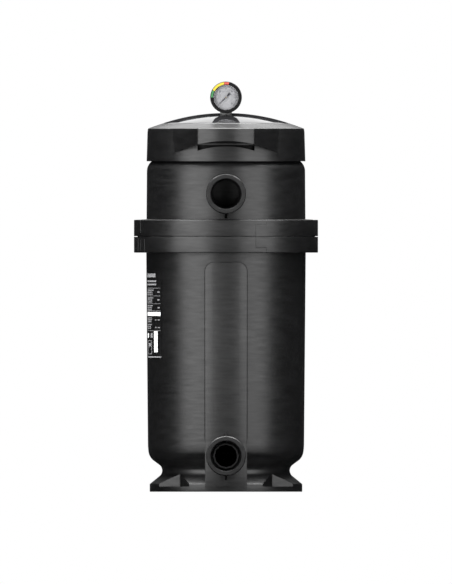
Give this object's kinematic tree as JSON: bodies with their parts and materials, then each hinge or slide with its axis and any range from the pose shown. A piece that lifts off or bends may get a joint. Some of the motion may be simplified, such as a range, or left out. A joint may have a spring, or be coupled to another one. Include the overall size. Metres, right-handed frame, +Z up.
{
  "type": "pool filter tank",
  "caption": "Upright cylindrical pool filter tank with a clamped two-part housing, two side ports, a screw-down grip ring, domed lid and pressure gauge.",
  "frame": {"origin": "centre of the underside of the foot, at floor level", "axes": "+Z up along the tank's axis, -Y towards the front, where both pipe ports and the gauge dial face, +X to the right as seen from the front"},
  "size_m": [0.3679, 0.41, 0.8206],
  "materials": {
    "housing_black": "satin moulded plastic with a fine brushed grain",
    "band_black": "satin moulded plastic",
    "ring_black": "satin moulded plastic, glossier on the chamfer",
    "lid_black": "glossy moulded plastic",
    "seal_rubber": "smooth rubber",
    "slip_ring_white": "smooth low-friction plastic",
    "stainless_steel": "brushed",
    "brass_fitting": "machined",
    "gauge_black": "moulded",
    "bezel_black_marked": "black ring with green, yellow and red printed arcs",
    "dial_pale": "pale printed dial",
    "needle_dark": "satin",
    "gauge_window": "clear",
    "label_print": null,
    "pleated_fabric": "pleated spun polyester",
    "white_plastic": "moulded",
    "cap_grey": "cast soft end cap"
  },
  "bodies": {
    "tank": {"lower_body": "housing_black", "upper_body": "housing_black", "body_seal": "seal_rubber", "clamp_band": "band_black", "lever_pin": "stainless_steel", "outlet_elbow": "housing_black", "outlet_seal": "seal_rubber", "bleed_tube": "white_plastic", "bleed_strainer": "cap_grey", "rating_label": "label_print"},
    "clamp_lever": {"clamp_lever": "band_black", "link_pin": "stainless_steel"},
    "clamp_link": {"clamp_link": "stainless_steel"},
    "lid": {"lid": "lid_black", "lid_seal": "seal_rubber", "slip_ring": "slip_ring_white", "gauge_adapter": "gauge_black", "gauge_case": "gauge_black", "gauge_dial": "dial_pale", "gauge_lens": "gauge_window", "bourdon_tube": "brass_fitting", "air_relief_body": "brass_fitting", "air_relief_seal": "seal_rubber"},
    "lock_ring": {"lock_ring": "ring_black"},
    "gauge_needle": {"gauge_needle": "needle_dark", "gauge_spindle": "brass_fitting"},
    "gauge_bezel": {"gauge_bezel": "bezel_black_marked"},
    "air_relief_knob": {"air_relief_knob": "gauge_black"},
    "cartridge": {"cartridge_media": "pleated_fabric", "cartridge_core": "white_plastic", "cartridge_top_cap": "cap_grey", "cartridge_bottom_cap": "cap_grey"},
    "drain_seal": {"drain_plug_seal": "seal_rubber"},
    "drain_plug": {"drain_plug": "housing_black"}
  },
  "joints": [
    {"name": "lid_lift", "type": "slide", "parent": "tank", "child": "lid", "axis": [0, 0, 1], "range_m": [0, 0.9]},
    {"name": "lock_ring_turn", "type": "hinge", "parent": "lid", "child": "lock_ring", "pos_m": [0, 0, 0.69], "axis": [0, 0, 1], "range_deg": [0, 360]},
    {"name": "cartridge_lift", "type": "slide", "parent": "tank", "child": "cartridge", "axis": [0, 0, 1], "range_m": [0, 0.64]},
    {"name": "gauge_needle_swing", "type": "hinge", "parent": "lid", "child": "gauge_needle", "pos_m": [0, -0.0584, 0.7888], "axis": [0, 1, 0], "range_deg": [0, 270]},
    {"name": "gauge_bezel_turn", "type": "hinge", "parent": "lid", "child": "gauge_bezel", "pos_m": [0, -0.06, 0.7888], "axis": [0, 1, 0], "continuous": true},
    {"name": "air_relief_knob_turn", "type": "hinge", "parent": "lid", "child": "air_relief_knob", "pos_m": [0, 0.07, 0.768], "axis": [0, 0, 1], "range_deg": [0, 360]},
    {"name": "clamp_lever_swing", "type": "hinge", "parent": "tank", "child": "clamp_lever", "pos_m": [0.16486, 0.06998, 0.511], "axis": [0, 0, 1], "range_deg": [0, 75]},
    {"name": "clamp_link_swing", "type": "hinge", "parent": "clamp_lever", "child": "clamp_link", "pos_m": [0.17087, 0.04578, 0.5105], "axis": [0, 0, 1], "range_deg": [-25, 0]},
    {"name": "drain_plug_travel", "type": "slide", "parent": "tank", "child": "drain_seal", "axis": [0, 1, 0], "range_m": [0, 0.03]},
    {"name": "drain_plug_turn", "type": "hinge", "parent": "drain_seal", "child": "drain_plug", "pos_m": [0, 0.16, 0.058], "axis": [0, 1, 0], "range_deg": [0, 1081]}
  ],
  "couplings": [
    {"joint": "cartridge_lift", "follows": "lid_lift", "ratio": 0.7},
    {"joint": "clamp_link_swing", "follows": "clamp_lever_swing", "ratio": -0.25},
    {"joint": "drain_plug_turn", "follows": "drain_plug_travel", "rad_per_m": 628.32}
  ]
}
